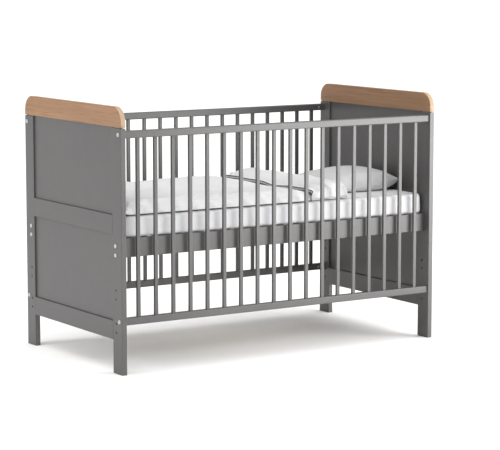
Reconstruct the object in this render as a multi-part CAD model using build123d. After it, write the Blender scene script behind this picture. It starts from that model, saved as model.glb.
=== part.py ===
"""Baby crib with panelled ends, slatted sides, a bolted mattress base and its bedding.

Frame: X runs along the crib from the foot end (-X) to the head end (+X), Y from the
front side (-Y) to the rear side (+Y) and Z up. The origin is on the floor, under the
middle of the crib. All sizes are millimetres.
"""

from build123d import *
import os

# ---------------------------------------------------------------- overall sizes
crib_length = 1250.0
crib_width = 672.0
crib_height = 864.0

# ---------------------------------------------------------------- panelled ends
end_thickness = 18.0
post_width = 60.0
cap_height = 68.0
cap_corner_radius = 48.0
cap_easing = 2.0
post_easing = 1.5
end_rail_easing = 1.0
mid_rail_top = 516.0
mid_rail_height = 63.0
end_bottom_rail_top = 172.0
end_bottom_rail_height = 62.0
panel_thickness = 6.0
groove_depth = 8.0
panel_side_play = 0.2
panel_edge_play = 1.0

# ---------------------------------------------------------------- slatted sides
side_rail_depth = 20.0
side_rail_height = 24.0
side_rail_setback = 6.0
side_rail_easing = 3.0
side_top_rail_drop = 76.0
side_bottom_rail_top = 185.0
slat_count = 18
slat_width = 13.0
slat_depth = 9.0
slat_easing = 1.5
slat_first_offset = 52.0
slat_tenon = 8.0
slat_play = 0.15
slat_end_play = 0.5

# ---------------------------------------------------------------- mattress base
base_rail_depth = 16.0
base_rail_height = 62.0
base_rail_top = 440.0
base_rail_easing = 1.5
base_side_gap = 4.0
base_level_drops = (0.0, 144.0, 252.0)
ledger_depth = 18.0
ledger_height = 20.0
base_slat_count = 11
base_slat_width = 60.0
base_slat_thickness = 10.0
base_slat_notch = 4.0
base_slat_easing = 1.0
base_slat_play = 0.3
base_slat_end_play = 1.0

# ---------------------------------------------------------------- fasteners
bolt_diameter = 6.0
bolt_past_nut = 7.0
bolt_hole_play = 1.0
bolt_head_diameter = 13.0
bolt_head_height = 2.5
bolt_head_easing = 1.0
bolt_socket_size = 4.0
bolt_socket_depth = 1.5
base_bolt_spacing = 30.0
base_bolt_from_top = 23.0
nut_diameter = 10.0
nut_from_rail_end = 25.0
nut_edge_play = 2.0
nut_end_wall = 4.0
bolt_bore_extra = 2.0
dowel_diameter = 8.0
dowel_length = 30.0
dowel_end_play = 1.0
dowel_from_edge = 15.0
cap_dowel_wall = 3.0

# ---------------------------------------------------------------- bedding
mattress_thickness = 70.0
mattress_head_gap = 3.0
mattress_foot_gap = 11.0
mattress_side_gap = 10.0
mattress_corner_radius = 22.0
mattress_edge_radius = 11.0
rest_gap = 0.3
duvet_thickness = 38.0
duvet_side_inset = 4.0
duvet_pillow_gap = 11.0
duvet_flap_length = 156.0
duvet_flap_rise = 17.0
duvet_edge_radius = 14.0
pillow_length = 298.0
pillow_width = 290.0
pillow_thickness = 82.0
pillow_head_gap = 4.0
pillow_rear_shift = -21.0
pillow_edge_radius = 30.0

# ---------------------------------------------------------------- worked-out places
x_outer = crib_length / 2
x_inner = x_outer - end_thickness
y_outer = crib_width / 2
y_post = y_outer - post_width
cap_bottom = crib_height - cap_height
side_top_rail_top = crib_height - side_top_rail_drop
y_side = y_outer - side_rail_setback - side_rail_depth / 2
y_side_inner = y_side - side_rail_depth / 2
y_base_outer = y_side_inner - base_side_gap
y_base = y_base_outer - base_rail_depth / 2
y_base_inner = y_base - base_rail_depth / 2
side_bolt_heights = (
    side_top_rail_top - side_rail_height / 2,
    side_bottom_rail_top - side_rail_height / 2,
)
base_bolt_heights = (
    base_rail_top - base_bolt_from_top,
    base_rail_top - base_bolt_from_top - base_bolt_spacing,
)
bolt_hole = bolt_diameter + bolt_hole_play
bolt_length = end_thickness + nut_from_rail_end + bolt_past_nut
dowel_reach = dowel_length / 2 + dowel_end_play
slat_pitch = 2 * (x_inner - slat_first_offset) / (slat_count - 1)
mattress_bottom = base_rail_top + rest_gap
mattress_top = mattress_bottom + mattress_thickness
mattress_x_head = x_inner - mattress_head_gap
mattress_x_foot = -x_inner + mattress_foot_gap
mattress_half_width = y_side_inner - mattress_side_gap
pillow_x_head = x_inner - pillow_head_gap
pillow_x_foot = pillow_x_head - pillow_length
end_rails = (
    (mid_rail_top, mid_rail_height),
    (end_bottom_rail_top, end_bottom_rail_height),
)
ends = (("foot", -1), ("head", 1))
sides = (("front", -1), ("rear", 1))


def block(x0, x1, y0, y1, z0, z1):
    """A box between two corners."""
    size = (abs(x1 - x0), abs(y1 - y0), abs(z1 - z0))
    middle = ((x0 + x1) / 2, (y0 + y1) / 2, (z0 + z1) / 2)
    return Pos(*middle) * Box(*size)


def x_bore(diameter, x0, x1, y, z):
    """A round bore along X from x0 to x1."""
    place = Pos((x0 + x1) / 2, y, z) * Rot(0, 90, 0)
    return place * Cylinder(diameter / 2, abs(x1 - x0))


def y_bore(diameter, x, y0, y1, z):
    """A round bore along Y from y0 to y1."""
    place = Pos(x, (y0 + y1) / 2, z) * Rot(90, 0, 0)
    return place * Cylinder(diameter / 2, abs(y1 - y0))


def z_bore(diameter, x, y, z0, z1):
    """A round bore along Z from z0 to z1."""
    return Pos(x, y, (z0 + z1) / 2) * Cylinder(diameter / 2, abs(z1 - z0))


def end_x(end):
    """The two faces of an end: the outer one and the inner one."""
    return end * x_outer, end * x_inner


def bolt_holes(side):
    """Each bolt hole of one post as (y, z): side rails, then the base at each level."""
    places = [(side * y_side, z) for z in side_bolt_heights]
    for drop in base_level_drops:
        places += [(side * y_base, z - drop) for z in base_bolt_heights]
    return places


def dowel_heights(rail_top, rail_height):
    """The two dowels of an end rail, one near its top and one near its bottom."""
    return rail_top - dowel_from_edge, rail_top - rail_height + dowel_from_edge


def panel_spans():
    """The bottom and top of each panel opening, lower one first."""
    lower = (end_bottom_rail_top, mid_rail_top - mid_rail_height)
    upper = (mid_rail_top, cap_bottom)
    return lower, upper


def panel_groove(end):
    """The groove that holds both panels, as one slot round each opening."""
    middle = end * (x_outer + x_inner) / 2
    half = panel_thickness / 2 + panel_side_play
    reach = y_post + groove_depth
    slots = [
        block(middle - half, middle + half, -reach, reach, low - groove_depth, high + groove_depth)
        for low, high in panel_spans()
    ]
    return slots[0] + slots[1]


def make_post(end, side):
    """A post that runs down as a leg, grooved for the panels and drilled for every bolt."""
    outer, inner = end_x(end)
    post = block(outer, inner, side * y_post, side * y_outer, 0, cap_bottom)
    post = fillet(post.edges().filter_by(Axis.Z), post_easing)
    post -= panel_groove(end)
    for y, z in bolt_holes(side):
        post -= x_bore(bolt_hole, outer, inner, y, z)
    middle = (outer + inner) / 2
    blind = side * (y_post + dowel_reach)
    for top, height in end_rails:
        for z in dowel_heights(top, height):
            post -= y_bore(dowel_diameter, middle, side * y_post, blind, z)
    for y in cap_dowel_places(side):
        post -= z_bore(dowel_diameter, middle, y, cap_bottom - dowel_reach, cap_bottom)
    return post


def cap_dowel_places(side):
    """The two dowels between a post and the cap: past the groove, short of the side bolt."""
    clear = cap_dowel_wall + dowel_diameter / 2
    return side * (y_post + groove_depth + clear), side * (y_side - bolt_hole / 2 - clear)


def make_cap(end):
    """The wooden cap rail: upper corners rounded, every outer edge eased."""
    outer, inner = end_x(end)
    cap = block(outer, inner, -y_outer, y_outer, cap_bottom, crib_height)
    corners = cap.edges().filter_by(Axis.X).group_by(Axis.Z)[-1]
    cap = fillet(corners, cap_corner_radius)
    faces = cap.faces().filter_by(Axis.X)
    cap = fillet(faces.edges(), cap_easing)
    cap -= panel_groove(end)
    middle = (outer + inner) / 2
    for _, side in sides:
        for y in cap_dowel_places(side):
            cap -= z_bore(dowel_diameter, middle, y, cap_bottom, cap_bottom + dowel_reach)
    return cap


def make_end_rail(end, top, height):
    """A cross rail of an end, grooved for the panels and drilled for its dowels."""
    outer, inner = end_x(end)
    rail = block(outer, inner, -y_post, y_post, top - height, top)
    rail = fillet(rail.edges().filter_by(Axis.Y), end_rail_easing)
    rail -= panel_groove(end)
    middle = (outer + inner) / 2
    for _, side in sides:
        blind = side * (y_post - dowel_reach)
        for z in dowel_heights(top, height):
            rail -= y_bore(dowel_diameter, middle, blind, side * y_post, z)
    return rail


def make_panel(end, low, high):
    """A thin panel whose four edges stand in the groove."""
    middle = end * (x_outer + x_inner) / 2
    half = panel_thickness / 2
    reach = groove_depth - panel_edge_play
    width = y_post + reach
    return block(middle - half, middle + half, -width, width, low - reach, high + reach)


def slat_positions():
    """The X of each side slat."""
    first = -x_inner + slat_first_offset
    return [first + i * slat_pitch for i in range(slat_count)]


def barrel_nut_span(rail_depth, y):
    """The Y span of a barrel nut, set in from the inner face of its rail."""
    side = 1 if y > 0 else -1
    inner = y - side * rail_depth / 2
    return inner, y + side * (rail_depth / 2 - nut_end_wall)


def drill_rail_ends(rail, rail_depth, y, heights):
    """Bolt bores into both ends of a rail, each crossed by the bore of its barrel nut."""
    depth = bolt_length - end_thickness + bolt_bore_extra
    for _, end in ends:
        for z in heights:
            rail -= x_bore(bolt_hole, end * (x_inner - depth), end * x_inner, y, z)
            nut_x = end * (x_inner - nut_from_rail_end)
            y0, y1 = barrel_nut_span(rail_depth, y)
            rail -= y_bore(nut_diameter, nut_x, y0, y1, z)
    return rail


def make_side_rail(side, top):
    """A rail of a slatted side, with a blind mortise for each slat."""
    y = side * y_side
    half = side_rail_depth / 2
    rail = block(-x_inner, x_inner, y - half, y + half, top - side_rail_height, top)
    rail = fillet(rail.edges().filter_by(Axis.X), side_rail_easing)
    seat = slat_seat(top)
    for x in slat_positions():
        across = slat_width / 2 + slat_play
        deep = slat_depth / 2 + slat_play
        rail -= block(x - across, x + across, y - deep, y + deep, *seat)
    return drill_rail_ends(rail, side_rail_depth, y, [top - side_rail_height / 2])


def slat_seat(top):
    """The Z span of a slat mortise: up into the top rail, or down into the bottom one."""
    depth = slat_tenon + slat_end_play
    if top == side_top_rail_top:
        low = top - side_rail_height
        return low, low + depth
    return top - depth, top


def make_slat(side, x):
    """One side slat, with a tenon's length inside each rail."""
    y = side * y_side
    low = side_bottom_rail_top - slat_tenon
    high = side_top_rail_top - side_rail_height + slat_tenon
    half_width = slat_width / 2
    half_depth = slat_depth / 2
    slat = block(x - half_width, x + half_width, y - half_depth, y + half_depth, low, high)
    return fillet(slat.edges().filter_by(Axis.Z), slat_easing)


def make_base_rail(side):
    """A long rail of the mattress base, bolted to both ends."""
    y = side * y_base
    half = base_rail_depth / 2
    low = base_rail_top - base_rail_height
    rail = block(-x_inner, x_inner, y - half, y + half, low, base_rail_top)
    rail = fillet(rail.edges().filter_by(Axis.X), base_rail_easing)
    return drill_rail_ends(rail, base_rail_depth, y, base_bolt_heights)


def base_slat_positions():
    """The X of each base slat, with equal gaps between slats and ends."""
    gap = (2 * x_inner - base_slat_count * base_slat_width) / (base_slat_count + 1)
    first = -x_inner + gap + base_slat_width / 2
    return [first + i * (base_slat_width + gap) for i in range(base_slat_count)]


def ledger_x_end():
    """Half the length of a ledger: it stops short of the barrel nuts' bores."""
    return x_inner - nut_from_rail_end - nut_diameter / 2 - nut_edge_play


def make_ledger(side):
    """The strip inside a base rail that carries the slats in shallow notches."""
    inner = side * y_base_inner
    edge = side * (y_base_inner - ledger_depth)
    seat = base_rail_top - base_slat_thickness
    top = seat + base_slat_notch
    reach = ledger_x_end()
    ledger = block(-reach, reach, inner, edge, top - ledger_height, top)
    half = base_slat_width / 2 + base_slat_play
    for x in base_slat_positions():
        ledger -= block(x - half, x + half, inner, edge, seat, top)
    return ledger


def make_base_slat(x):
    """One cross slat of the mattress base, its top level with the rails."""
    half = base_slat_width / 2
    reach = y_base_inner - base_slat_end_play
    low = base_rail_top - base_slat_thickness
    slat = block(x - half, x + half, -reach, reach, low, base_rail_top)
    return fillet(slat.edges().filter_by(Axis.Y), base_slat_easing)


def make_bolt(end, y, z):
    """A flat-headed bolt through a post, its socket facing out."""
    outer = end * x_outer
    shank = x_bore(bolt_diameter, outer, end * (x_outer - bolt_length), y, z)
    head = x_bore(bolt_head_diameter, outer, end * (x_outer + bolt_head_height), y, z)
    rim = head.edges().filter_by(GeomType.CIRCLE).sort_by(Axis.X)
    head = fillet(rim[-1] if end > 0 else rim[0], bolt_head_easing)
    tip = end * (x_outer + bolt_head_height)
    floor = end * (x_outer + bolt_head_height - bolt_socket_depth)
    middle = (tip + floor) / 2
    hexagon = RegularPolygon(bolt_socket_size / 2, 6, major_radius=False)
    socket = extrude(hexagon, bolt_socket_depth / 2, both=True)
    return head + shank - Pos(middle, y, z) * Rot(0, 90, 0) * socket


def make_barrel_nut(end, rail_depth, y, z):
    """A cross dowel nut, bored for the bolt that screws into it."""
    x = end * (x_inner - nut_from_rail_end)
    y0, y1 = barrel_nut_span(rail_depth, y)
    nut = y_bore(nut_diameter, x, y0, y1, z)
    return nut - x_bore(bolt_diameter, x - nut_diameter, x + nut_diameter, y, z)


def make_dowels():
    """Every wooden dowel of both ends, as separate solids."""
    dowels = []
    half = dowel_length / 2
    for _, end in ends:
        middle = end * (x_outer + x_inner) / 2
        for _, side in sides:
            for top, height in end_rails:
                for z in dowel_heights(top, height):
                    y0, y1 = side * (y_post - half), side * (y_post + half)
                    dowels.append(y_bore(dowel_diameter, middle, y0, y1, z))
            for y in cap_dowel_places(side):
                z0, z1 = cap_bottom - half, cap_bottom + half
                dowels.append(z_bore(dowel_diameter, middle, y, z0, z1))
    return dowels


def make_mattress():
    """The mattress, pushed up to the head end, with rounded corners and edges."""
    half = mattress_half_width
    pad = block(mattress_x_foot, mattress_x_head, -half, half, mattress_bottom, mattress_top)
    pad = fillet(pad.edges().filter_by(Axis.Z), mattress_corner_radius)
    flats = pad.faces().filter_by(Axis.Z)
    return fillet(flats.edges(), mattress_edge_radius)


def make_duvet():
    """The duvet from the foot end on, thicker where its head end is turned back."""
    x_fold = pillow_x_foot - duvet_pillow_gap
    x_flap = x_fold - duvet_flap_length
    bottom = mattress_top + rest_gap
    top = bottom + duvet_thickness
    half = mattress_half_width - duvet_side_inset
    body = soft_slab(mattress_x_foot, x_flap + duvet_edge_radius, half, bottom, top)
    flap = soft_slab(x_flap, x_fold, half, bottom, top + duvet_flap_rise)
    return body + flap


def soft_slab(x0, x1, half_width, bottom, top):
    """A block whose upper edges are rounded as a quilt's are."""
    slab = block(x0, x1, -half_width, half_width, bottom, top)
    upper = slab.edges().group_by(Axis.Z)[-1]
    return fillet(upper, duvet_edge_radius)


def make_pillow():
    """The pillow at the head end, as one rounded block."""
    y0 = pillow_rear_shift - pillow_width / 2
    y1 = pillow_rear_shift + pillow_width / 2
    bottom = mattress_top + rest_gap
    pad = block(pillow_x_foot, pillow_x_head, y0, y1, bottom, bottom + pillow_thickness)
    return fillet(pad.edges(), pillow_edge_radius)


def build():
    """Every node of the crib, by name."""
    nodes = {}
    for end_name, end in ends:
        for side_name, side in sides:
            nodes[f"{end_name}_{side_name}_post"] = make_post(end, side)
        nodes[f"{end_name}_cap"] = make_cap(end)
        nodes[f"{end_name}_mid_rail"] = make_end_rail(end, *end_rails[0])
        nodes[f"{end_name}_bottom_rail"] = make_end_rail(end, *end_rails[1])
        lower, upper = panel_spans()
        nodes[f"{end_name}_lower_panel"] = make_panel(end, *lower)
        nodes[f"{end_name}_upper_panel"] = make_panel(end, *upper)
    for side_name, side in sides:
        nodes[f"{side_name}_top_rail"] = make_side_rail(side, side_top_rail_top)
        nodes[f"{side_name}_bottom_rail"] = make_side_rail(side, side_bottom_rail_top)
        nodes[f"base_{side_name}_rail"] = make_base_rail(side)
        nodes[f"base_{side_name}_ledger"] = make_ledger(side)
    for i, x in enumerate(slat_positions()):
        nodes[f"front_slat_{i + 1:02d}"] = make_slat(-1, x)
    half = slat_count // 2
    rear = [make_slat(1, x) for x in slat_positions()]
    nodes["rear_slats_foot_half"] = Compound(children=rear[:half])
    nodes["rear_slats_head_half"] = Compound(children=rear[half:])
    for i, x in enumerate(base_slat_positions()):
        nodes[f"base_slat_{i + 1:02d}"] = make_base_slat(x)
    side_bolts = []
    base_bolts = []
    nuts = []
    for _, end in ends:
        for _, side in sides:
            for z in side_bolt_heights:
                side_bolts.append(make_bolt(end, side * y_side, z))
                nuts.append(make_barrel_nut(end, side_rail_depth, side * y_side, z))
            for z in base_bolt_heights:
                base_bolts.append(make_bolt(end, side * y_base, z))
                nuts.append(make_barrel_nut(end, base_rail_depth, side * y_base, z))
    nodes["side_rail_bolts"] = Compound(children=side_bolts)
    nodes["base_bolts"] = Compound(children=base_bolts)
    nodes["barrel_nuts"] = Compound(children=nuts)
    nodes["dowels"] = Compound(children=make_dowels())
    nodes["mattress"] = make_mattress()
    nodes["duvet"] = make_duvet()
    nodes["pillow"] = make_pillow()
    return nodes


os.makedirs("parts", exist_ok=True)
for name, shape in build().items():
    export_step(shape, f"parts/{name}.step")
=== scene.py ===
"""Looks of the baby crib: grey lacquered frame, oiled wooden caps and white cotton bedding.

Lengths are metres, in the crib's own frame: X from the foot end to the head end, Y from the
front side to the rear side, Z up from the floor.
"""

import math
import bpy
import numpy as np
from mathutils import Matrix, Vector


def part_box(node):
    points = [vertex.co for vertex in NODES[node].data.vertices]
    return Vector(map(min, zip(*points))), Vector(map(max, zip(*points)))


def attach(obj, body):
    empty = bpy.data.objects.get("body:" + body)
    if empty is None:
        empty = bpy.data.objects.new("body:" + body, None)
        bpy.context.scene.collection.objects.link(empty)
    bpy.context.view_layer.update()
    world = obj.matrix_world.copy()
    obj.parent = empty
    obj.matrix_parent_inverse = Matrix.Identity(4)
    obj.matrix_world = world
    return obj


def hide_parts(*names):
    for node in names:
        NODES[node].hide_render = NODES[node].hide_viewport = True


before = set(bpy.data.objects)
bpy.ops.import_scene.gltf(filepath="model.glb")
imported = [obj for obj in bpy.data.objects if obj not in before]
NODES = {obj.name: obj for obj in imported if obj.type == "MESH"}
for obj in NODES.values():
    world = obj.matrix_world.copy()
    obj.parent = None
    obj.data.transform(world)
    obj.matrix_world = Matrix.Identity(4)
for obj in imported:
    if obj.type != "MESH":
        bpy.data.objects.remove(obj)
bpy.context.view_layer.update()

MATTRESS_LOW, MATTRESS_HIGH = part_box("mattress")
DUVET_LOW, DUVET_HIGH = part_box("duvet")
PILLOW_LOW, PILLOW_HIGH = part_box("pillow")


# ------------------------------------------------------------------ mesh helpers
def quads(index, flip=False):
    """Four-sided faces between neighbouring rows and columns of a grid of vertex numbers."""
    corners = [index[:-1, :-1], index[1:, :-1], index[1:, 1:], index[:-1, 1:]]
    if flip:
        corners.reverse()
    return np.stack([c.ravel() for c in corners], axis=1)


def closed_round(index):
    """A grid of vertex numbers with its first column repeated after the last one."""
    return np.concatenate([index, index[:, :1]], axis=1)


def add_mesh(name, vertices, faces, uv=None, smooth=True):
    """A mesh object at the origin, from vertex places, faces and a texture place per vertex."""
    mesh = bpy.data.meshes.new(name)
    mesh.from_pydata(np.asarray(vertices).tolist(), [], [list(f) for f in faces])
    mesh.update()
    if uv is not None:
        loops = np.empty(len(mesh.loops), dtype=np.int32)
        mesh.loops.foreach_get("vertex_index", loops)
        layer = mesh.uv_layers.new(name="UVMap")
        layer.data.foreach_set("uv", np.asarray(uv)[loops].astype(np.float32).ravel())
    mesh.polygons.foreach_set("use_smooth", [smooth] * len(mesh.polygons))
    piece = bpy.data.objects.new(name, mesh)
    bpy.context.scene.collection.objects.link(piece)
    return piece


def read_points(piece):
    """The vertex places of a piece, as rows of an array."""
    points = np.empty(len(piece.data.vertices) * 3, dtype=np.float32)
    piece.data.vertices.foreach_get("co", points)
    return points.reshape(-1, 3).astype(float)


def write_points(piece, points):
    """Puts new vertex places into a piece."""
    piece.data.vertices.foreach_set("co", np.asarray(points, dtype=np.float32).ravel())
    piece.data.update()


def apply_modifiers(piece):
    """Replaces a piece's mesh with what its modifiers make of it."""
    depsgraph = bpy.context.evaluated_depsgraph_get()
    made = bpy.data.meshes.new_from_object(piece.evaluated_get(depsgraph))
    piece.modifiers.clear()
    piece.data = made


def subdivide(piece, levels=1):
    """Rounds a piece with a subdivision surface, made part of its mesh."""
    modifier = piece.modifiers.new("Subdivision", "SUBSURF")
    modifier.levels = levels
    modifier.render_levels = levels
    apply_modifiers(piece)


def smooth_step(value, low, high):
    """0 below low, 1 above high, and 3t^2 - 2t^3 between them."""
    t = np.clip((value - low) / (high - low), 0, 1)
    return t * t * (3 - 2 * t)


TUBE_POINT = 0.05


def tube(name, path, radius, closed=True, sides=10):
    """A round tube along a path: at each path point, a circle square to the path.

    Point (i, k) is path[i] + radius * (cos(k) * side[i] + sin(k) * up[i]), where side is the
    tangent crossed with Z and up is side crossed with the tangent. An open tube's ends are
    drawn in to a blunt point one radius beyond the path.
    """
    path = np.asarray(path, dtype=float)
    if closed:
        tangent = np.roll(path, -1, axis=0) - np.roll(path, 1, axis=0)
    else:
        tangent = np.gradient(path, axis=0)
    tangent /= np.linalg.norm(tangent, axis=1, keepdims=True)
    side = np.cross(tangent, [0.0, 0.0, 1.0])
    side /= np.maximum(np.linalg.norm(side, axis=1, keepdims=True), 1e-9)
    up = np.cross(side, tangent)
    widths = np.full(len(path), radius)
    if not closed:
        before, after = path[:1] - tangent[:1] * radius, path[-1:] + tangent[-1:] * radius
        path = np.concatenate([before, path, after])
        side = np.concatenate([side[:1], side, side[-1:]])
        up = np.concatenate([up[:1], up, up[-1:]])
        widths = np.concatenate([[radius * TUBE_POINT], widths, [radius * TUBE_POINT]])
    angle = np.linspace(0, 2 * np.pi, sides, endpoint=False)
    ring = np.cos(angle)[None, :, None] * side[:, None] + np.sin(angle)[None, :, None] * up[:, None]
    points = path[:, None] + ring * widths[:, None, None]
    index = closed_round(np.arange(len(path) * sides).reshape(len(path), sides))
    if closed:
        index = np.concatenate([index, index[:1]], axis=0)
    faces = quads(index).tolist()
    if not closed:
        faces.append(list(range(sides)))
        faces.append(list(range(len(path) * sides - 1, (len(path) - 1) * sides - 1, -1)))
    along = np.concatenate([[0], np.cumsum(np.linalg.norm(np.diff(path, axis=0), axis=1))])
    around = angle * radius
    uv = np.stack(np.broadcast_arrays(along[:, None], around[None, :]), axis=-1)
    return add_mesh(name, points.reshape(-1, 3), faces, uv.reshape(-1, 2))


# ------------------------------------------------------------------ material helpers
def new_material(name):
    """An empty node material with its shader, and shorthands to add and link nodes."""
    material = bpy.data.materials.new(name)
    material.use_nodes = True
    tree = material.node_tree
    shader = tree.nodes["Principled BSDF"]

    def add(kind, **settings):
        node = tree.nodes.new(kind)
        for key, value in settings.items():
            if hasattr(node, key):
                setattr(node, key, value)
            else:
                node.inputs[key.replace("_", " ")].default_value = value
        return node

    return material, shader, add, tree.links.new


def object_place(add, link, scale=(1, 1, 1), turn=(0, 0, 0)):
    """Object coordinates, stretched and turned for a pattern."""
    place = add("ShaderNodeTexCoord")
    mapping = add("ShaderNodeMapping")
    mapping.inputs["Scale"].default_value = scale
    mapping.inputs["Rotation"].default_value = turn
    link(place.outputs["Object"], mapping.inputs["Vector"])
    return mapping.outputs["Vector"]


def ramp(add, link, value, stops):
    """A colour ramp read at a value; each stop is a position and a linear colour."""
    node = add("ShaderNodeValToRGB")
    elements = node.color_ramp.elements
    while len(elements) < len(stops):
        elements.new(0.5)
    for element, (position, colour) in zip(elements, stops):
        element.position = position
        element.color = (*colour, 1)
    link(value, node.inputs["Fac"])
    return node.outputs["Color"]


def spread(add, link, value, low, high):
    """A value from 0 to 1 carried to the range from low to high."""
    node = add("ShaderNodeMapRange")
    node.inputs["To Min"].default_value = low
    node.inputs["To Max"].default_value = high
    link(value, node.inputs["Value"])
    return node.outputs["Result"]


def share_between(add, link, value, start, end):
    """A value read as 0 at the start and below, and as 1 at the end and above."""
    node = add("ShaderNodeMapRange")
    node.inputs["From Min"].default_value = start
    node.inputs["From Max"].default_value = end
    link(value, node.inputs["Value"])
    return node.outputs["Result"]


def bump(add, link, height, distance, strength, below=None):
    """A bump from a height, laid over another bump."""
    node = add("ShaderNodeBump")
    node.inputs["Distance"].default_value = distance
    node.inputs["Strength"].default_value = strength
    link(height, node.inputs["Height"])
    if below is not None:
        link(below, node.inputs["Normal"])
    return node.outputs["Normal"]


def lacquer(name, stretch):
    """Satin grey lacquer over wood: faint grain along the piece, cloudy tone, orange peel."""
    material, shader, add, link = new_material(name)
    fibres = add("ShaderNodeTexNoise", Scale=1.0, Detail=6.0, Roughness=0.6)
    link(object_place(add, link, stretch), fibres.inputs["Vector"])
    clouds = add("ShaderNodeTexNoise", Scale=5.0, Detail=3.0)
    link(object_place(add, link), clouds.inputs["Vector"])
    peel = add("ShaderNodeTexNoise", Scale=900.0, Detail=2.0)
    link(object_place(add, link), peel.inputs["Vector"])
    tone = add("ShaderNodeMix", data_type="RGBA")
    tone.inputs["Factor"].default_value = 0.5
    dark, mid, light = GREY_TONES
    grained = ramp(add, link, fibres.outputs["Fac"], [(0.30, dark), (0.52, mid), (0.72, light)])
    link(grained, tone.inputs["A"])
    link(ramp(add, link, clouds.outputs["Fac"], [(0.35, dark), (0.65, light)]), tone.inputs["B"])
    link(tone.outputs["Result"], shader.inputs["Base Color"])
    link(spread(add, link, clouds.outputs["Fac"], 0.32, 0.44), shader.inputs["Roughness"])
    grain = bump(add, link, fibres.outputs["Fac"], 0.0004, 0.25)
    link(bump(add, link, peel.outputs["Fac"], 0.0001, 0.25, grain), shader.inputs["Normal"])
    shader.inputs["IOR"].default_value = 1.5
    return material


def with_painted_edge_highlight(add, link, board, grain):
    """A board's colour, painted paler on its narrow edges as a highlight, behind a thin dark line.

    The piece's own attribute edge_share runs from 0 on the broad faces to 1 on the edges.
    """
    share = add("ShaderNodeAttribute", attribute_name="edge_share").outputs["Fac"]
    # Painted highlight: the narrow edges take paler tones, standing in for the key light falling on
    # them.
    pale = ramp(add, link, grain, [(0.30, EDGE_HIGHLIGHT_TONES[0]), (0.70, EDGE_HIGHLIGHT_TONES[1])])
    # A thin dark line painted along the middle of the easing.
    dark_line = ramp(add, link, share, [(0.30, (1.0,) * 3), (0.45, (0.30,) * 3), (0.70, (1.0,) * 3)])
    colour = add("ShaderNodeMix", data_type="RGBA")
    link(share_between(add, link, share, 0.35, 0.65), colour.inputs["Factor"])
    link(board, colour.inputs["A"])
    link(pale, colour.inputs["B"])
    with_dark_line = add("ShaderNodeMix", data_type="RGBA", blend_type="MULTIPLY")
    with_dark_line.inputs["Factor"].default_value = 1.0
    link(colour.outputs["Result"], with_dark_line.inputs["A"])
    link(dark_line, with_dark_line.inputs["B"])
    return with_dark_line.outputs["Result"]


GRAIN_LIMIT = 10


def board_wood(name, stretch, tones, gloss, highlit_edges=False):
    """Sawn board: growth bands and fine fibres along the board, darker pores, oiled or bare.

    The stretch is below GRAIN_LIMIT along the grain, and above it across the grain.
    """
    material, shader, add, link = new_material(name)
    bands = add("ShaderNodeTexNoise", Scale=1.0, Detail=4.0, Roughness=0.55, Distortion=0.6)
    wide = tuple(s if s < GRAIN_LIMIT else s * 0.22 for s in stretch)
    link(object_place(add, link, wide), bands.inputs["Vector"])
    fibres = add("ShaderNodeTexNoise", Scale=1.0, Detail=8.0, Roughness=0.65)
    link(object_place(add, link, stretch), fibres.inputs["Vector"])
    pores = add("ShaderNodeTexNoise", Scale=1.0, Detail=2.0, Roughness=0.5)
    fine = tuple(s * 5 if s < GRAIN_LIMIT else s * 4 for s in stretch)
    link(object_place(add, link, fine), pores.inputs["Vector"])
    dark, mid, light, pore = tones
    broad = ramp(add, link, bands.outputs["Fac"], [(0.32, dark), (0.5, mid), (0.66, light)])
    narrow = ramp(add, link, fibres.outputs["Fac"], [(0.30, dark), (0.5, mid), (0.70, light)])
    blend = add("ShaderNodeMix", data_type="RGBA")
    blend.inputs["Factor"].default_value = 0.45
    link(broad, blend.inputs["A"])
    link(narrow, blend.inputs["B"])
    specks = add("ShaderNodeMix", data_type="RGBA")
    shade = ramp(add, link, pores.outputs["Fac"], [(0.36, (0.7,) * 3), (0.42, (0.0,) * 3)])
    link(shade, specks.inputs["Factor"])
    link(blend.outputs["Result"], specks.inputs["A"])
    specks.inputs["B"].default_value = (*pore, 1)
    board = specks.outputs["Result"]
    # Painted highlight on the board's narrow edges, with a thin dark line along the easing.
    if highlit_edges:
        board = with_painted_edge_highlight(add, link, board, bands.outputs["Fac"])
    link(board, shader.inputs["Base Color"])
    link(spread(add, link, fibres.outputs["Fac"], gloss, gloss + 0.16), shader.inputs["Roughness"])
    relief = bump(add, link, fibres.outputs["Fac"], 0.0004, 0.35)
    link(bump(add, link, pores.outputs["Fac"], 0.0003, 0.3, relief), shader.inputs["Normal"])
    return material


WAVE_WIDTH = 0.314


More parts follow.
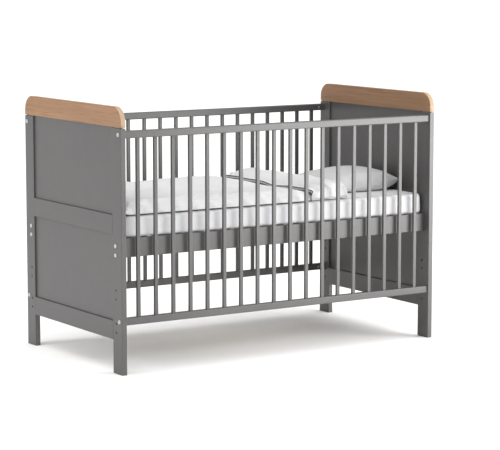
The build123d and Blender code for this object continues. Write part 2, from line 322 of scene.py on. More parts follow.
def cotton(name, tone, thread, sheen):
    """Plain-weave cotton: crossing threads as bump and tint, with soft uneven dye."""
    material, shader, add, link = new_material(name)
    place = add("ShaderNodeTexCoord").outputs["UV"]
    waves = []
    for direction in ("X", "Y"):
        wave = add("ShaderNodeTexWave", bands_direction=direction, Distortion=0.6, Detail=1.0)
        wave.inputs["Scale"].default_value = WAVE_WIDTH / thread
        wave.inputs["Detail Scale"].default_value = 2.0
        link(place, wave.inputs["Vector"])
        waves.append(wave.outputs["Fac"])
    weave = add("ShaderNodeMath", operation="MULTIPLY")
    link(waves[0], weave.inputs[0])
    link(waves[1], weave.inputs[1])
    clouds = add("ShaderNodeTexNoise", Scale=9.0, Detail=4.0)
    link(object_place(add, link), clouds.inputs["Vector"])
    slubs = add("ShaderNodeTexNoise", Scale=240.0, Detail=3.0)
    link(object_place(add, link), slubs.inputs["Vector"])
    dim = tuple(c * 0.955 for c in tone)
    threads = ramp(add, link, weave.outputs["Value"], [(0.0, dim), (0.7, tone)])
    dye = ramp(add, link, clouds.outputs["Fac"], [(0.3, dim), (0.7, tone)])
    colour = add("ShaderNodeMix", data_type="RGBA")
    colour.inputs["Factor"].default_value = 0.5
    link(threads, colour.inputs["A"])
    link(dye, colour.inputs["B"])
    link(colour.outputs["Result"], shader.inputs["Base Color"])
    link(spread(add, link, slubs.outputs["Fac"], 0.78, 0.95), shader.inputs["Roughness"])
    fuzz = bump(add, link, slubs.outputs["Fac"], 0.0004, 0.2)
    link(bump(add, link, weave.outputs["Value"], 0.0003, 0.45, fuzz), shader.inputs["Normal"])
    shader.inputs["Sheen Weight"].default_value = sheen
    shader.inputs["Sheen Roughness"].default_value = 0.5
    shader.inputs["Specular IOR Level"].default_value = 0.25
    return material


def ticking(name, tone, quilting):
    """Mattress ticking: a fine weave quilted in a diamond pattern of that size."""
    material, shader, add, link = new_material(name)
    lines = []
    for turn in (math.radians(45), math.radians(-45)):
        wave = add("ShaderNodeTexWave", bands_direction="X")
        wave.inputs["Scale"].default_value = WAVE_WIDTH / quilting
        link(object_place(add, link, turn=(0, 0, turn)), wave.inputs["Vector"])
        lines.append(wave.outputs["Fac"])
    stitch = add("ShaderNodeMath", operation="MINIMUM")
    link(lines[0], stitch.inputs[0])
    link(lines[1], stitch.inputs[1])
    threads = add("ShaderNodeTexNoise", Scale=700.0, Detail=2.0)
    link(object_place(add, link), threads.inputs["Vector"])
    low = tuple(c * 0.82 for c in tone)
    stitched = ramp(add, link, stitch.outputs["Value"], [(0.0, low), (0.12, tone)])
    link(stitched, shader.inputs["Base Color"])
    link(spread(add, link, threads.outputs["Fac"], 0.75, 0.95), shader.inputs["Roughness"])
    puffs = bump(add, link, stitch.outputs["Value"], 0.004, 0.6)
    link(bump(add, link, threads.outputs["Fac"], 0.0003, 0.4, puffs), shader.inputs["Normal"])
    shader.inputs["Sheen Weight"].default_value = 0.2
    return material


def coated_metal(name, tone, metallic, rough):
    """Bolt heads and nuts: an even coat or plating, brushed and slightly cloudy."""
    material, shader, add, link = new_material(name)
    marks = add("ShaderNodeTexNoise", Scale=1.0, Detail=3.0)
    link(object_place(add, link, (900, 900, 120)), marks.inputs["Vector"])
    dim = tuple(c * 0.9 for c in tone)
    brushed = ramp(add, link, marks.outputs["Fac"], [(0.35, dim), (0.6, tone)])
    link(brushed, shader.inputs["Base Color"])
    link(spread(add, link, marks.outputs["Fac"], rough, rough + 0.15), shader.inputs["Roughness"])
    link(bump(add, link, marks.outputs["Fac"], 0.0001, 0.3), shader.inputs["Normal"])
    shader.inputs["Metallic"].default_value = metallic
    return material


# ------------------------------------------------------------------ finishes of the frame
GREY_TONES = ((0.073, 0.070, 0.069), (0.080, 0.077, 0.076), (0.088, 0.085, 0.083))
ALONG, ACROSS = 3.0, 110.0
GREY_X = lacquer("grey_lacquer_along_x", (ALONG, ACROSS, ACROSS))
GREY_Y = lacquer("grey_lacquer_along_y", (ACROSS, ALONG, ACROSS))
GREY_Z = lacquer("grey_lacquer_along_z", (ACROSS, ACROSS, ALONG))
GREY_PANEL = lacquer("grey_lacquer_on_panel", (24.0, 24.0, 24.0))
CAP_TONES = (
    (0.225, 0.118, 0.058),
    (0.275, 0.150, 0.078),
    (0.330, 0.190, 0.104),
    (0.170, 0.085, 0.041),
)
BARE_TONES = ((0.52, 0.43, 0.32), (0.60, 0.51, 0.39), (0.66, 0.57, 0.45), (0.38, 0.29, 0.20))
# Paler tones for the cap's narrow edges: a painted highlight.
EDGE_HIGHLIGHT_TONES = ((0.36, 0.245, 0.150), (0.43, 0.300, 0.190))
CAP_WOOD = board_wood("oiled_cap_wood", (160.0, 1.6, 120.0), CAP_TONES, 0.5, highlit_edges=True)
BASE_WOOD_X = board_wood("bare_wood_along_x", (2.2, 90.0, 90.0), BARE_TONES, 0.62)
BASE_WOOD_Y = board_wood("bare_wood_along_y", (90.0, 2.2, 90.0), BARE_TONES, 0.62)
BOLT_COAT = coated_metal("white_bolt_coat", (0.50, 0.50, 0.50), 0.0, 0.35)
ZINC = coated_metal("zinc_plating", (0.58, 0.58, 0.60), 1.0, 0.3)
SHEET_COTTON = cotton("sheet_cotton", (0.59, 0.59, 0.60), 0.0008, 0.12)
DUVET_COTTON = cotton("duvet_cotton", (0.622, 0.622, 0.624), 0.0007, 0.12)
PILLOW_COTTON = cotton("pillow_cotton", (0.49, 0.49, 0.495), 0.0009, 0.12)
PIPING_COTTON = cotton("dark_piping_cotton", (0.030, 0.030, 0.033), 0.0006, 0.1)
MATTRESS_TICKING = ticking("mattress_ticking", (0.80, 0.80, 0.78), 0.05)


def finish_of(node):
    """The finish of a CAD piece, by its name and the direction of its grain."""
    if node.endswith("_bolts"):
        return BOLT_COAT
    if node == "barrel_nuts":
        return ZINC
    if node.endswith("_ledger"):
        return BASE_WOOD_X
    if node.startswith("base_slat") or node == "dowels":
        return BASE_WOOD_Y
    if node.endswith("_panel"):
        return GREY_PANEL
    if node.endswith("_post") or "_slat" in node:
        return GREY_Z
    if node.startswith(("foot_", "head_")):
        return GREY_Y
    return GREY_X


def finish_cad_pieces():
    """Gives every CAD piece its own procedural finish."""
    for name, piece in NODES.items():
        piece.data.materials.clear()
        piece.data.materials.append(finish_of(name))


# ------------------------------------------------------------------ cap rails
CAP_CORNER = 0.048
CAP_EASING = 0.002
CAP_SHADOW_GAP = 0.0028
CAP_GAP_DEPTH = 0.0065
CAP_GAP_STEP = 0.0003


def cap_outline(low, high, inset, lift):
    """The cap's outline in Y and Z: two square lower corners and two round upper ones.

    The straight edges are moved inwards by the inset, and the round corners keep their centres
    and lose the inset from their radius. The lower edge is lifted. The points run round it
    with +X outwards.
    """
    y0, y1 = low[1] + inset, high[1] - inset
    z0, z1 = low[2] + max(inset, lift), high[2] - inset
    turn = np.linspace(0, np.pi / 2, 25)
    radius = CAP_CORNER - inset
    right = np.stack([y1 - radius + radius * np.cos(turn), z1 - radius + radius * np.sin(turn)], axis=1)
    left = right[::-1] * [-1, 1] + [y0 + y1, 0]
    lower = np.array([[y0, z0], [y1, z0]])
    return np.concatenate([lower, right, left])


def make_cap(node):
    """A cap rail: its outline carried across the thickness, with every edge eased.

    The inset of the outline is easing * (1 - sin t) and the place across the thickness is
    easing * (1 - cos t) from the face, for t from 0 to 90 degrees, at both faces. Next to both
    faces the underside is cut up by a shadow gap, and between them it rests on the end. The
    attribute edge_share grows with t from 0 on the faces to 1 on the edges.
    """
    low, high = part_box(node)
    turn = np.linspace(0, np.pi / 2, 6)
    insets = CAP_EASING * (1 - np.sin(turn))
    depths = CAP_EASING * (1 - np.cos(turn))
    steps = [(depth, inset, CAP_SHADOW_GAP) for depth, inset in zip(depths, insets)]
    steps += [(CAP_GAP_DEPTH, 0.0, CAP_SHADOW_GAP), (CAP_GAP_DEPTH + CAP_GAP_STEP, 0.0, 0.0)]
    rings = [(low[0] + depth, inset, lift) for depth, inset, lift in steps]
    rings += [(high[0] - depth, inset, lift) for depth, inset, lift in reversed(steps)]
    points = []
    for x, inset, lift in rings:
        points.append(np.insert(cap_outline(low, high, inset, lift), 0, x, axis=1))
    count = len(points[0])
    index = closed_round(np.arange(len(rings) * count).reshape(len(rings), count))
    faces = quads(index).tolist()
    faces.append(list(range(count - 1, -1, -1)))
    faces.append(list(range((len(rings) - 1) * count, len(rings) * count)))
    cap = add_mesh(f"{node}_board", np.concatenate(points), faces)
    flat = np.zeros(len(faces), dtype=bool)
    flat[-2:] = True
    flat[:-2].reshape(len(rings) - 1, count)[:, 0] = True
    cap.data.polygons.foreach_set("use_smooth", ~flat)
    eased = np.concatenate([turn / turn[-1], [1.0, 1.0]])
    edge_share = np.repeat(np.concatenate([eased, eased[::-1]]), count)
    cap.data.attributes.new("edge_share", "FLOAT", "POINT").data.foreach_set("value", edge_share)
    cap.data.materials.append(CAP_WOOD)
    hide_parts(node)
    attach(cap, "frame")
    return cap


# ------------------------------------------------------------------ mattress and fitted sheet
SHEET_GAP = 0.0012
MATTRESS_CORNER = 0.022
MATTRESS_EDGE = 0.013
MATTRESS_GRID = 0.011
SMALLEST_CORNER = 0.004
EDGE_ARC_POINTS = 6
SIDE_RING = 8
TUCK = 0.055
TUCK_RINGS = 5
HEM_RADIUS = 0.0011


def rounded_plan(side_x, side_y, half_x, half_y, corner):
    """Points of a square grid from -1 to 1, carried to a rectangle with round corners.

    Where a point lies in a corner square, its distance from the corner's centre along the
    longer axis becomes its radius, so that square rings turn into round ones.
    """
    x, y = side_x * half_x, side_y * half_y
    past_x = np.maximum(np.abs(x) - (half_x - corner), 0)
    past_y = np.maximum(np.abs(y) - (half_y - corner), 0)
    reach = np.maximum(past_x, past_y)
    length = np.maximum(np.hypot(past_x, past_y), 1e-9)
    x = np.sign(x) * (np.abs(x) - past_x + past_x * reach / length)
    y = np.sign(y) * (np.abs(y) - past_y + past_y * reach / length)
    return x, y


def rim_of(index):
    """The vertex numbers round a grid's edge, once round with +Z upwards."""
    return np.concatenate([index[:-1, 0], index[-1, :-1], index[:0:-1, -1], index[0, :0:-1]])


def slab(name, low, high, closed_below, puckers=None):
    """A mattress-shaped slab: a grid on top, rings down its side and in under it.

    Ring k stands inset by inset[k] from the outline at height[k]: a quarter circle over the
    top edge, a straight side, a quarter circle under it and a flat return. The underside is
    closed by a second grid, or left open as a fitted sheet is.
    """
    centre = (np.array(low) + np.array(high)) / 2
    half = (np.array(high) - np.array(low)) / 2
    columns, rows = int(2 * half[0] / MATTRESS_GRID), int(2 * half[1] / MATTRESS_GRID)
    side_x, side_y = np.meshgrid(np.linspace(-1, 1, columns), np.linspace(-1, 1, rows), indexing="ij")
    edge = MATTRESS_EDGE
    turn = np.linspace(0, np.pi / 2, EDGE_ARC_POINTS)
    arc_in, arc_up = edge * (1 - np.sin(turn)), edge * (1 - np.cos(turn))
    straight = np.linspace(high[2] - edge, low[2] + edge, 7)[1:-1]
    inset = np.concatenate([arc_in[1:], np.zeros(len(straight)), arc_in[::-1]])
    height = np.concatenate([high[2] - arc_up[1:], straight, low[2] + arc_up[::-1]])
    if not closed_below:
        inset = np.concatenate([inset, np.linspace(edge, TUCK, TUCK_RINGS + 1)[1:]])
        height = np.concatenate([height, np.full(TUCK_RINGS, low[2])])
    top = np.arange(columns * rows).reshape(columns, rows)
    rim = rim_of(top)
    x, y = rounded_plan(side_x, side_y, half[0] - edge, half[1] - edge, MATTRESS_CORNER - edge)
    points = [np.stack([x, y, np.full_like(x, high[2])], axis=-1).reshape(-1, 3)]
    flat_x, flat_y = side_x.ravel()[rim], side_y.ravel()[rim]
    for d, z in zip(inset, height):
        corner = max(MATTRESS_CORNER - d, SMALLEST_CORNER)
        x, y = rounded_plan(flat_x, flat_y, half[0] - d, half[1] - d, corner)
        points.append(np.stack([x, y, np.full_like(x, z)], axis=-1))
    first = columns * rows
    rings = first + np.arange(len(inset) * len(rim)).reshape(len(inset), len(rim))
    wall = closed_round(np.concatenate([rim[None], rings]))
    faces = [quads(top), quads(wall, flip=True)]
    if closed_below:
        below = np.zeros_like(top)
        below_points = points[0] * [1, 1, 0] + [0, 0, low[2]]
        inner = np.ones(top.shape, dtype=bool)
        inner.ravel()[rim] = False
        start = first + rings.size
        below[inner] = start + np.arange(inner.sum())
        below.ravel()[rim] = rings[-1]
        points.append(below_points[inner.ravel()])
        faces.append(quads(below, flip=True))
    vertices = np.concatenate(points)
    if puckers is not None:
        vertices = puckers(vertices, rings, half, high[2])
    vertices[:, :2] += centre[:2]
    drop = np.zeros(len(vertices))
    drop[first:first + rings.size] = np.repeat(high[2] - height, len(rim))
    across = vertices[:, :2] + drop[:, None] * np.sign(vertices[:, :2]) * 0.5
    return add_mesh(name, vertices, np.concatenate(faces), across), rings


PUCKERS = 90
PUCKER_WIDTHS = (0.005, 0.014)
PUCKER_HEIGHTS = (-0.0006, 0.0008)
PUCKER_LEANS = (-0.25, 0.25)
CORNER_PULLS = ((0.35, 0.7), (0.78, 1.0), (1.2, 0.8))
PULL_DEPTH = 0.0014
PULL_SPAN = 0.075
PULL_REACH = 0.09


def sheet_puckers(vertices, rings, half, top):
    """Soft upright puckers in the fitted sheet's side, and short pulls from its corners.

    Each pucker is a ridge or hollow exp(-(s - s0)^2 / w^2) of the distance s round the mattress.
    It grows from the top edge down to the elastic, and leans a little. Each corner sends a few
    hollows over the top, which fade within 160 mm.
    """
    random = np.random.default_rng(11)
    ring_points = vertices[rings]
    outline = ring_points[SIDE_RING]
    along = np.concatenate([[0], np.cumsum(np.linalg.norm(np.diff(outline[:, :2], axis=0), axis=1))])
    total = along[-1] + np.linalg.norm(outline[0, :2] - outline[-1, :2])
    places = np.sort(random.uniform(0, total, PUCKERS))
    widths = random.uniform(*PUCKER_WIDTHS, PUCKERS)
    heights = random.uniform(*PUCKER_HEIGHTS, PUCKERS)
    leans = random.uniform(*PUCKER_LEANS, PUCKERS)
    fall = (top - ring_points[..., 2]) / (2 * half[2])
    shift = along[None, :, None] - places - leans * (top - ring_points[..., 2])[..., None]
    shift = (shift + total / 2) % total - total / 2
    ridge = (heights * np.exp(-((shift / widths) ** 2))).sum(axis=-1)
    corner = np.array([half[0], half[1]]) - np.abs(ring_points[..., :2])
    reach_x, reach_y = 0.09, 0.12
    near_corner = np.exp(-((corner[..., 0] / reach_x) ** 2)) + np.exp(-((corner[..., 1] / reach_y) ** 2))
    grow = smooth_step(fall, 0.05, 0.55) * (0.55 + 0.9 * near_corner)
    outward = ring_points[..., :2] / half[:2]
    outward = np.sign(outward) * np.abs(outward) ** 12
    outward /= np.maximum(np.linalg.norm(outward, axis=-1, keepdims=True), 1e-9)
    vertices[rings, :2] += outward * (ridge * grow)[..., None]
    under = np.arange(rings.shape[0])[:, None] >= rings.shape[0] - TUCK_RINGS
    vertices[rings, 2] += np.where(under, np.abs(ridge) * 0.6, 0)
    top_count = rings[0, 0]
    flat = vertices[:top_count]
    for end_x in (-1, 1):
        for end_y in (-1, 1):
            away = flat[:, :2] - [end_x * half[0], end_y * half[1]]
            distance = np.linalg.norm(away, axis=1)
            angle = np.arctan2(np.abs(away[:, 1]), np.abs(away[:, 0]))
            fold = sum(share * np.exp(-(((angle - a) / PULL_SPAN) ** 2)) for a, share in CORNER_PULLS)
            pull = PULL_DEPTH * fold * np.exp(-((distance / PULL_REACH) ** 2))
            vertices[:top_count, 2] -= pull * smooth_step(distance, 0.0, 0.03)
    return vertices


def make_mattress():
    """The mattress in its ticking, and the fitted sheet stretched over it and tucked under."""
    low, high = np.array(MATTRESS_LOW), np.array(MATTRESS_HIGH)
    core, _ = slab("mattress_core", low + SHEET_GAP, high - SHEET_GAP, closed_below=True)
    core.data.materials.append(MATTRESS_TICKING)
    sheet, rings = slab("fitted_sheet", low, high, closed_below=False, puckers=sheet_puckers)
    hem_path = read_points(sheet)[rings[-1]]
    sheet.data.materials.append(SHEET_COTTON)
    hem = tube("sheet_elastic_hem", hem_path[::2] + [0, 0, SHEET_GAP], HEM_RADIUS, sides=8)
    hem.data.materials.append(SHEET_COTTON)
    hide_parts("mattress")
    for piece in (core, sheet, hem):
        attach(piece, "mattress")


# ------------------------------------------------------------------ sewn and filled pieces
def sewn_pad(name, middle, normal, half_thickness, uv):
    """Two faces of cloth either side of a middle surface, joined at the seam round its edge.

    The faces are the middle plus and minus the normal times the half thickness. Both share the
    outermost grid points, which lie on the middle surface itself.
    """
    rows, columns = half_thickness.shape
    upper = np.arange(rows * columns).reshape(rows, columns)
    lower = upper.copy()
    inner = (rows - 2) * (columns - 2)
    lower[1:-1, 1:-1] = rows * columns + np.arange(inner).reshape(rows - 2, columns - 2)
    seam = np.ones((rows, columns), dtype=bool)
    seam[1:-1, 1:-1] = False
    offset = normal * np.where(seam, 0, half_thickness)[..., None]
    above = (middle + offset).reshape(-1, 3)
    below = (middle - offset)[1:-1, 1:-1].reshape(-1, 3)
    places = np.concatenate([uv.reshape(-1, 2), uv[1:-1, 1:-1].reshape(-1, 2)])
    faces = np.concatenate([quads(upper), quads(lower, flip=True)])
    pad = add_mesh(name, np.concatenate([above, below]), faces, places)
    return pad, upper, lower


def inflate(pad, freedom, frames, pressure, slack, cap):
    """Fills a sewn pad by cloth simulation and keeps part of each point's travel.

    A copy of the pad is given slack cloth and air pressure with no gravity. Each point's travel
    is cut to the cap, multiplied by its freedom from 0 to 1 and added to its place.
    """
    scene = bpy.context.scene
    copy = pad.copy()
    copy.data = pad.data.copy()
    scene.collection.objects.link(copy)
    held = copy.vertex_groups.new(name="held")
    for vertex in np.flatnonzero(freedom < 0.02):
        held.add([int(vertex)], 1.0, "REPLACE")
    cloth = copy.modifiers.new("Cloth", "CLOTH")
    settings = cloth.settings
    settings.quality = 6
    settings.mass = 0.25
    settings.tension_stiffness = 18
    settings.compression_stiffness = 18
    settings.shear_stiffness = 6
    settings.bending_stiffness = 0.6
    settings.use_pressure = True
    settings.uniform_pressure_force = pressure
    settings.shrink_min = -slack
    settings.shrink_max = -slack
    settings.effector_weights.gravity = 0
    settings.vertex_group_mass = "held"
    cloth.point_cache.frame_start = 1
    cloth.point_cache.frame_end = frames
    for number in range(1, frames + 1):
        scene.frame_set(number)
    depsgraph = bpy.context.evaluated_depsgraph_get()
    result = copy.evaluated_get(depsgraph).to_mesh()
    moved = np.empty(len(result.vertices) * 3, dtype=np.float32)
    result.vertices.foreach_get("co", moved)
    start = read_points(pad)
    travel = moved.reshape(-1, 3) - start
    length = np.maximum(np.linalg.norm(travel, axis=1), 1e-9)
    travel *= (np.minimum(length, cap) / length * freedom)[:, None]
    write_points(pad, start + travel)
    bpy.data.objects.remove(copy)
    scene.frame_set(1)


PIPING_RADIUS = 0.0017
HEM_PIPING_RADIUS = 0.0015
HEM_BAND = 0.0090
DUVET_TURN = 0.156
BODY_FULL = 0.041
COVERED_FULL = 0.026
FLAP_FULL = 0.029
FLAP_GAP = 0.0028
FLAP_HANG = 0.003
BODY_ROWS, FOLD_ROWS, FLAP_ROWS, DUVET_COLUMNS = 96, 11, 26, 84


def edge_round(distance, reach):
    """A quarter ellipse: 0 at an edge, rising steeply from it, and 1 from the reach on."""
    t = np.clip(distance / reach, 0, 1)
    return np.sqrt(1 - (1 - t) ** 2)


def duvet_surface():
    """The folded duvet's middle surface, its normal and its half thickness, as grids.

    Rows follow the duvet from the foot end to the fold, round a half circle and back along the
    turned-back part to its hem. Columns cross it from front to rear, closer together at the
    edges. The thickness is a full one for the place along the duvet, times a quarter ellipse
    of the distance from the side edge, which is shorter and squarer towards the fold. The body
    lies on the mattress, the turned-back part lies on the body, and its edge hangs over the
    body's edge. At the hem a low upright band stands between two lines of piping. The hem ripples
    as two sines across the duvet, and curls towards the fold close to its front corner.
    """
    base = DUVET_LOW[2]
    half_width = DUVET_HIGH[1] - PIPING_RADIUS
    x_foot = DUVET_LOW[0] + PIPING_RADIUS
    x_fold = DUVET_HIGH[0] - 0.001
    x_hem = x_fold - DUVET_TURN
    step = np.linspace(-1, 1, DUVET_COLUMNS)
    across = step * (1.38 - 0.38 * step**2)
    from_edge = (1 - np.abs(across)) * half_width
    side_reach, reach_lost = 0.040, 0.018
    foot_reach, foot_rise = 0.055, 0.012
    dip_depth, drawn_in = 0.008, 0.012

    def share(x):
        reach = side_reach - reach_lost * smooth_step(x, x_hem, x_fold - 0.02)
        return edge_round(from_edge, reach) * (0.97 + 0.03 * (1 - across**2))

    def covered(x):
        return smooth_step(x, x_hem - 0.05, x_hem + 0.03)

    def body_thickness(x):
        full = BODY_FULL + (COVERED_FULL - BODY_FULL) * covered(x)
        dip = dip_depth * np.exp(-(((across + 0.26) / 0.30) ** 2)) * np.exp(-(((x - x_hem) / 0.05) ** 2))
        return (full - dip) * edge_round(x - x_foot, foot_reach) * share(x)

    fold_start = x_fold - 0.030
    body_x = x_foot + (fold_start - x_foot) * np.linspace(0, 1, BODY_ROWS)[:, None] ** 1.2
    body_thick = body_thickness(body_x)
    foot_lift = foot_rise * (1 - edge_round(body_x - x_foot, 0.03))
    body_z = base + foot_lift + PIPING_RADIUS * (1 - share(body_x)) + body_thick / 2
    body_y = across * (half_width - drawn_in * covered(body_x))
    body_x = np.broadcast_to(body_x, body_y.shape)

    at_fold = np.array([[x_fold]])
    hang = FLAP_HANG * (1 - share(at_fold))
    fold_thick_end = FLAP_FULL * share(at_fold)
    fold_low = body_z[-1]
    fold_high = base + hang + body_thickness(np.array([[fold_start]])) + FLAP_GAP + fold_thick_end / 2
    radius = (fold_high - fold_low) / 2
    angle = np.linspace(-np.pi / 2, np.pi / 2, FOLD_ROWS + 2)[1:-1, None]
    arc_x = x_fold - fold_thick_end / 2 - radius
    fold_x = arc_x + radius * np.cos(angle)
    fold_z = (fold_high + fold_low) / 2 + radius * np.sin(angle)
    turned = (angle + np.pi / 2) / np.pi
    flap_y = across * (half_width + 0.002)
    fold_y = (1 - turned) * body_y[-1] + turned * flap_y
    fold_thick = (1 - turned) * body_thick[-1] + turned * fold_thick_end

    curl_depth, sway_height, rise_length = 0.020, 0.0012, 0.11
    back = 1 - (1 - np.linspace(0, 1, FLAP_ROWS)[:, None]) ** 1.5
    curl = curl_depth * np.exp(-(((across + 0.95) / 0.04) ** 2))
    ripple = 0.005 * np.sin(2.3 * across + 0.4) + 0.0035 * np.sin(9.5 * across + 1.1)
    hem = x_hem + ripple + curl
    flap_x = arc_x + (hem - arc_x) * back
    from_hem = flap_x - hem
    band = HEM_BAND * np.minimum(share(flap_x) * 2, 1)
    full_here = FLAP_FULL * share(flap_x)
    rise = 1 - (1 - np.clip((from_hem - from_hem[-2]) / rise_length, 0, 1)) ** 2
    flap_thick = np.where(from_hem > 0, band + (full_here - band) * rise, 0)
    sway = sway_height * np.sin(11 * across + 0.6) * np.exp(-from_hem / 0.02)
    flap_z = base + hang + body_thickness(flap_x) + FLAP_GAP + sway * share(flap_x) + flap_thick / 2

    middle = [
        np.stack(np.broadcast_arrays(x, y, z), axis=-1)
        for x, y, z in ((body_x, body_y, body_z), (fold_x, fold_y, fold_z), (flap_x, flap_y, flap_z))
    ]
    turning = np.concatenate([-np.cos(angle), np.zeros_like(angle), -np.sin(angle)], axis=1)
    normal = [
        np.zeros(middle[0].shape) + [0, 0, 1],
        np.broadcast_to(turning[:, None], middle[1].shape),
        np.zeros(middle[2].shape) + [0, 0, -1],
    ]
    half = np.concatenate([body_thick / 2, fold_thick / 2, flap_thick / 2])
    return np.concatenate(middle), np.concatenate(normal), half


def soft_hills(points, seed, count, low, high, size, depth):
    """A sum of broad round hills and dips, scattered over a rectangle."""
    random = np.random.default_rng(seed)
    centres = random.uniform(low, high, (count, 2))
    widths = random.uniform(size * 0.6, size * 1.4, count)
    heights = random.uniform(-depth, depth, count)
    distance = ((points[:, None, :2] - centres) ** 2).sum(axis=-1)
    return (heights * np.exp(-distance / widths**2)).sum(axis=1)


def creases(points, seed, count, low, high, width, length, depth):
    """A sum of long soft ridges and hollows, scattered over a rectangle at slanting angles.

    Each is depth * exp(-(across / width)^2 - (along / length)^2) in its own turned axes.
    """
    random = np.random.default_rng(seed)
    centres = random.uniform(low, high, (count, 2))
    widths = random.uniform(width * 0.6, width * 1.5, count)
    lengths = random.uniform(length * 0.6, length * 1.4, count)
    depths = random.uniform(-depth, depth, count)
    angles = random.choice([-1, 1], count) * random.uniform(0.5, 1.4, count)
    away = points[:, None, :2] - centres
    along = away[..., 0] * np.cos(angles) + away[..., 1] * np.sin(angles)
    across = away[..., 1] * np.cos(angles) - away[..., 0] * np.sin(angles)
    return (depths * np.exp(-((across / widths) ** 2) - (along / lengths) ** 2)).sum(axis=1)


def make_duvet():
    """The duvet with its head end turned back, filled, creased and piped along its edges."""
    middle, normal, half = duvet_surface()
    steps = np.linalg.norm(np.diff(middle[:, DUVET_COLUMNS // 2], axis=0), axis=1)
    along = np.concatenate([[0], np.cumsum(steps)])
    uv = np.stack(np.broadcast_arrays(along[:, None], middle[0, :, 1][None, :]), axis=-1)
    duvet, upper, lower = sewn_pad("duvet_cover", middle, normal, half, uv)
    row = np.broadcast_to(np.arange(len(along))[:, None], upper.shape)
    x_hem = DUVET_HIGH[0] - DUVET_TURN
    in_open = 1 - smooth_step(middle[..., 0], x_hem - 0.11, x_hem - 0.025)
    freedom = np.zeros(len(duvet.data.vertices))
    near_hem = smooth_step(len(along) - 1 - row, 3, 11)
    freedom[lower] = smooth_step(row, BODY_ROWS - 3, BODY_ROWS + 4) * near_hem
    freedom[upper] = np.where(row < BODY_ROWS, in_open, 0)
    freedom[rim_of(upper)] = 0
    inflate(duvet, freedom, frames=24, pressure=4.0, slack=0.03, cap=0.0055)
    points = read_points(duvet)
    area = {"low": DUVET_LOW[:2], "high": DUVET_HIGH[:2]}
    hills = soft_hills(points, seed=5, count=60, size=0.06, depth=0.0028, **area)
    points[:, 2] += hills * freedom
    folds = creases(points, seed=21, count=46, width=0.013, length=0.07, depth=0.0034, **area)
    points[:, 2] += folds * freedom
    write_points(duvet, points)
    open_rows = int((middle[:BODY_ROWS, 0, 0] < x_hem).sum())
    front, rear = upper[open_rows:0:-1, 0], upper[1:open_rows + 1, -1]
    edge_path = points[np.concatenate([front, upper[0], rear])]
    hem_paths = (points[upper[-1]], points[lower[-2, 1:-1]])
    subdivide(duvet)
    duvet.data.materials.append(DUVET_COTTON)
    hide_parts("duvet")
    piping = [tube("duvet_edge_piping", edge_path, PIPING_RADIUS, closed=False)]
    for name, path in zip(("duvet_hem_piping_low", "duvet_hem_piping_high"), hem_paths):
        piping.append(tube(name, path, HEM_PIPING_RADIUS, closed=False))
    for piece in piping:
        piece.data.materials.append(PIPING_COTTON)
    for piece in (duvet, *piping):
        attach(piece, "duvet")


PILLOW_PULL = 0.035
PILLOW_HALF_HEIGHT = 0.0355
PILLOW_CLEARANCE = 0.0005
CROWN_SHIFT = 0.30
CROWN_POWER = 0.30
SEAM_HEIGHT = 0.014
SEAM_RADIUS = 0.0011


def make_pillow():
    """The pillow: a crowned pad whose sides draw in between its pointed corners.

    Over u and v from -1 to 1, the top rises from the seam by ((1 - u^2)(1 - v^2))^0.3 of the
    full height, with u bent so that the crown lies towards the head end, and less of it in the
    corners by 0.6 (u v)^4. The seam runs low along the sides and rises to the corners, most of
    all to the front one at the head. The underside is flat, and curves up close to the seam.
    """
    low, high = np.array(PILLOW_LOW), np.array(PILLOW_HIGH)
    centre, half = (low + high) / 2, (high - low) / 2
    u, v = np.meshgrid(np.linspace(-1, 1, 44), np.linspace(-1, 1, 58), indexing="ij")
    x = centre[0] + half[0] * u * (1 - PILLOW_PULL * (1 - v**2))
    y = centre[1] + half[1] * v * (1 - PILLOW_PULL * (1 - u**2))
    bent = u - CROWN_SHIFT * (1 - u**2)
    crown = np.clip((1 - bent**2) * (1 - v**2), 0, 1) ** CROWN_POWER * (1 - 0.6 * (u * v) ** 4)
    front_corner = np.exp(-((1 - u) ** 2 + (1 + v) ** 2) / 0.35)
    seam_z = low[2] + SEAM_HEIGHT + 0.012 * u**2 * v**2 + 0.008 * front_corner
    seam_z = seam_z + 0.008 * smooth_step(u, 0.2, 1)
    top = seam_z + (low[2] + 2 * PILLOW_HALF_HEIGHT - seam_z) * crown
    rest = low[2] + PILLOW_CLEARANCE
    curve = (1 - np.clip(crown * 1.5, 0, 1)) ** 1.2
    bottom = rest + (seam_z - low[2] - PILLOW_CLEARANCE) * curve
    middle = np.stack([x, y, (top + bottom) / 2], axis=-1)
    normal = np.zeros(middle.shape) + [0, 0, 1]
    uv = np.stack([x, y], axis=-1)
    pillow, upper, lower = sewn_pad("pillow_case", middle, normal, (top - bottom) / 2, uv)
    freedom = np.ones(len(pillow.data.vertices))
    freedom[lower[2:-2, 2:-2].ravel()] = 0.0
    points = read_points(pillow)
    freedom *= smooth_step(points[:, 2] - low[2], 0.002, 0.014)
    inflate(pillow, freedom, frames=26, pressure=5.0, slack=0.03, cap=0.006)
    seam_path = read_points(pillow)[rim_of(upper)]
    subdivide(pillow)
    pillow.data.materials.append(PILLOW_COTTON)
    seam = tube("pillow_seam", seam_path, SEAM_RADIUS, sides=8)
    seam.data.materials.append(PILLOW_COTTON)
    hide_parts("pillow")
    for piece in (pillow, seam):
        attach(piece, "pillow")


# ------------------------------------------------------------------ studio
def add_area_light(name, place, target, size, power):
    """A softbox that the camera doesn't see, aimed at a point."""
    data = bpy.data.lights.new(name, "AREA")
    data.shape = "RECTANGLE"
    data.size, data.size_y = size
    data.energy = power
    light = bpy.data.objects.new(name, data)
    light.location = place
    light.rotation_euler = (Vector(target) - Vector(place)).to_track_quat("-Z", "Y").to_euler()
    light.visible_camera = False
    bpy.context.scene.collection.objects.link(light)


FLOOR_REACH = 60.0


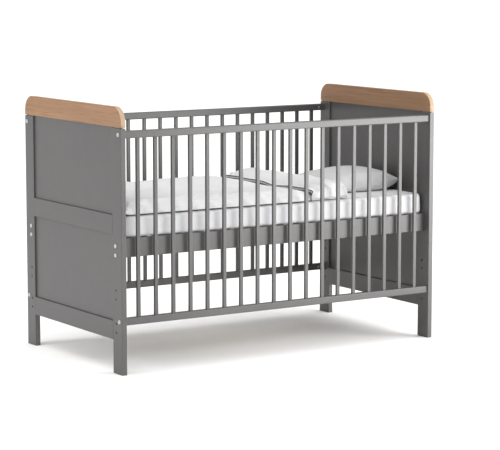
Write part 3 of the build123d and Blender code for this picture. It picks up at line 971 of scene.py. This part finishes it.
def make_floor():
    """A wide pale floor with a barely uneven tone."""
    reach = FLOOR_REACH
    corners = [(-reach, -reach, 0), (reach, -reach, 0), (reach, reach, 0), (-reach, reach, 0)]
    floor = add_mesh("studio_floor", corners, [(0, 1, 2, 3)], smooth=False)
    material, shader, add, link = new_material("pale_floor")
    patches = add("ShaderNodeTexNoise", Scale=0.6, Detail=2.0)
    link(object_place(add, link), patches.inputs["Vector"])
    tone = ramp(add, link, patches.outputs["Fac"], [(0.3, (0.89,) * 3), (0.7, (0.91,) * 3)])
    link(tone, shader.inputs["Base Color"])
    shader.inputs["Roughness"].default_value = 0.9
    shader.inputs["Specular IOR Level"].default_value = 0.1
    floor.data.materials.append(material)


def add_sun(name, towards, strength, degrees_wide):
    """A wide soft light from far away, travelling in a direction."""
    data = bpy.data.lights.new(name, "SUN")
    data.energy = strength
    data.angle = math.radians(degrees_wide)
    light = bpy.data.objects.new(name, data)
    light.rotation_euler = Vector(towards).to_track_quat("-Z", "Y").to_euler()
    bpy.context.scene.collection.objects.link(light)


WORLD_STRENGTH = 0.2
OVERHEAD = {"towards": (-0.12, 0.22, -1.0), "strength": 3.95, "degrees_wide": 105.0}
KEY_BOX = {"place": (1.75, -2.1, 0.68), "target": (0.2, 0.0, 0.45), "size": (1.6, 1.1), "power": 60.5}
SIDE_BOX = {"place": (-3.2, 0.42, 1.4), "target": (-0.6, 0.0, 0.45), "size": (1.1, 1.1), "power": 36.0}


def make_studio():
    """Dim even surroundings, a wide light overhead, a low key softbox and one at the foot end."""
    world = bpy.data.worlds.new("studio")
    bpy.context.scene.world = world
    world.use_nodes = True
    background = world.node_tree.nodes["Background"]
    background.inputs["Color"].default_value = (1, 1, 1, 1)
    background.inputs["Strength"].default_value = WORLD_STRENGTH
    add_sun("overhead_light", **OVERHEAD)
    add_area_light("key_softbox", **KEY_BOX)
    add_area_light("side_softbox", **SIDE_BOX)
    bpy.context.scene.view_settings.view_transform = "Standard"
    make_floor()


def make_camera():
    """The camera: seen from the front left of the foot end and a little above, with a long lens."""
    azimuth, elevation = math.radians(-32.693), math.radians(7.524)
    distance, lens = 7.294, 149.85
    target = Vector((0.0776, 0.0, 0.4022))
    level = math.cos(elevation)
    away = Vector((math.sin(azimuth) * level, -math.cos(azimuth) * level, math.sin(elevation)))
    data = bpy.data.cameras.new("camera")
    data.lens = lens
    data.sensor_width = 36.0
    data.clip_end = 200.0
    camera = bpy.data.objects.new("camera", data)
    camera.location = target + away * distance
    camera.rotation_euler = (-away).to_track_quat("-Z", "Y").to_euler()
    bpy.context.scene.collection.objects.link(camera)
    bpy.context.scene.camera = camera


make_camera()
make_studio()
finish_cad_pieces()
make_cap("foot_cap")
make_cap("head_cap")
make_mattress()
make_duvet()
make_pillow()
